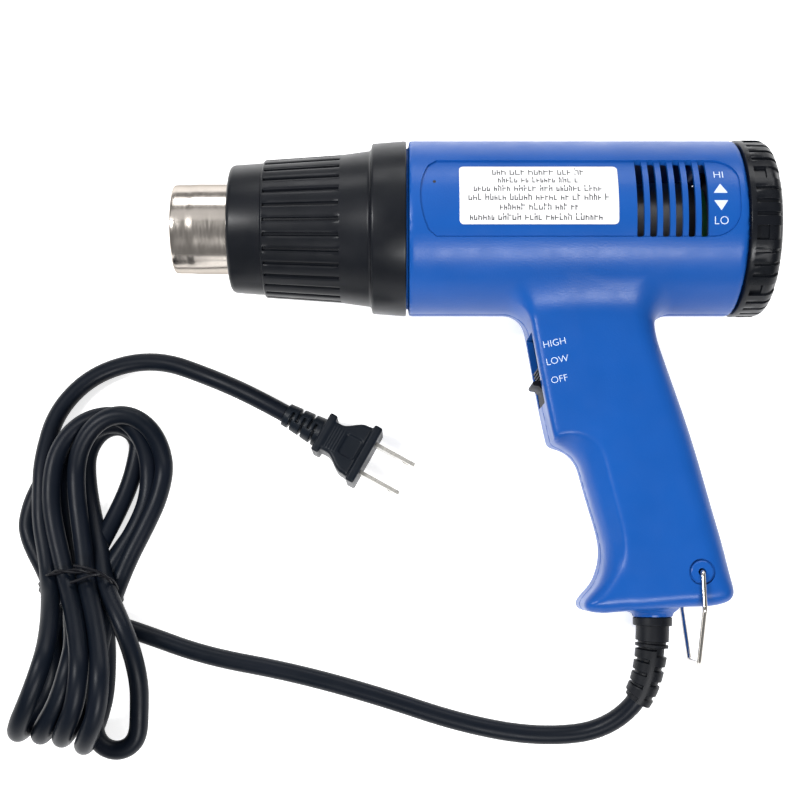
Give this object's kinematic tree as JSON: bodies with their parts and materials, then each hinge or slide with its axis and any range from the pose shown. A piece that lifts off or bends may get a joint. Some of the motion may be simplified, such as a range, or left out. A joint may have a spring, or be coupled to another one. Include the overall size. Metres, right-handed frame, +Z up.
{
  "type": "heat gun",
  "caption": "Hand-held electric heat gun: barrel with metal nozzle, ribbed heat shield, rear temperature dial, pistol handle, slide switch, wire hanging bail and a tied mains lead with plug.",
  "frame": {"origin": "middle of the base of the gun as it lies on its side, on the floor, without its lead and plug", "axes": "+X along the barrel from the nozzle to the rear dial, +Y from the handle towards the barrel, +Z up from the floor"},
  "size_m": [0.2952, 0.2365, 0.0686],
  "materials": {
    "blue_housing": "satin, finely textured",
    "zinc_screws": "zinc plated",
    "nozzle_steel": "polished steel",
    "black_shield": "satin",
    "mica": "matt",
    "steel": "satin",
    "ceramic": "matt",
    "heating_wire": "satin",
    "inner_plastic": "matt",
    "fan_plastic": "satin",
    "ferrite": "matt",
    "bronze": "satin",
    "circuit_board": "satin",
    "black_dial": "satin",
    "label": "satin",
    "heatsink_aluminium": "satin",
    "cord_rubber": "satin",
    "wire_insulation": "satin",
    "bail_steel": "bright wire",
    "boot_rubber": "matt",
    "tie_plastic": "satin",
    "plug_plastic": "satin",
    "blade_metal": "bright"
  },
  "bodies": {
    "root": {"housing_near": "blue_housing", "housing_far": "blue_housing", "housing_screws": "zinc_screws", "nozzle_tube": "nozzle_steel", "heat_shield": "black_shield", "mica_tube": "mica", "flange_washer": "steel", "heater_core": "ceramic", "heating_coils": "heating_wire", "heater_rod": "steel", "element_holder": "mica", "thermal_fuse": "steel", "thermostat": "steel", "fan_housing": "inner_plastic", "motor_can": "steel", "motor_magnets": "ferrite", "motor_bushes": "bronze", "motor_end_bell": "inner_plastic", "motor_brushes": "ferrite", "rectifier_board": "circuit_board", "rear_bulkhead": "inner_plastic", "potentiometer_body": "steel", "rating_label": "label", "power_switch": "inner_plastic", "control_board": "circuit_board", "triac_heatsink": "heatsink_aluminium", "triac": "inner_plastic", "suppression_capacitor": "fan_plastic", "board_resistors": "ceramic", "cord_clamp": "inner_plastic", "clamp_screws": "zinc_screws", "lead_sheath": "cord_rubber", "heater_wires": "wire_insulation", "cord_boot": "boot_rubber", "cord_lead": "cord_rubber", "cord_hank": "cord_rubber", "cord_tail": "cord_rubber", "twist_tie": "tie_plastic", "plug_body": "plug_plastic", "plug_blades": "blade_metal"},
    "dial": {"temperature_dial": "black_dial", "potentiometer_shaft": "steel"},
    "rotor": {"fan_impeller": "fan_plastic", "motor_shaft": "steel", "motor_armature": "steel"},
    "slider": {"switch_slider": "black_dial"},
    "bail": {"hang_bail": "bail_steel"}
  },
  "joints": [
    {"name": "dial_turn", "type": "hinge", "parent": "root", "child": "dial", "pos_m": [0.10835, 0.06674, 0.0343], "axis": [1, 0, 0], "range_deg": [-135, 135]},
    {"name": "fan_spin", "type": "hinge", "parent": "root", "child": "rotor", "pos_m": [0.02535, 0.06674, 0.0343], "axis": [1, 0, 0], "continuous": true},
    {"name": "switch_slide", "type": "slide", "parent": "root", "child": "slider", "axis": [-0.1419, 0.9864, 0.0828], "range_m": [0, 0.013]},
    {"name": "bail_swing", "type": "hinge", "parent": "root", "child": "bail", "pos_m": [0.08375, -0.0658, 0.02317], "axis": [0, -0.0837, 0.9965], "range_deg": [-12, 165]}
  ]
}
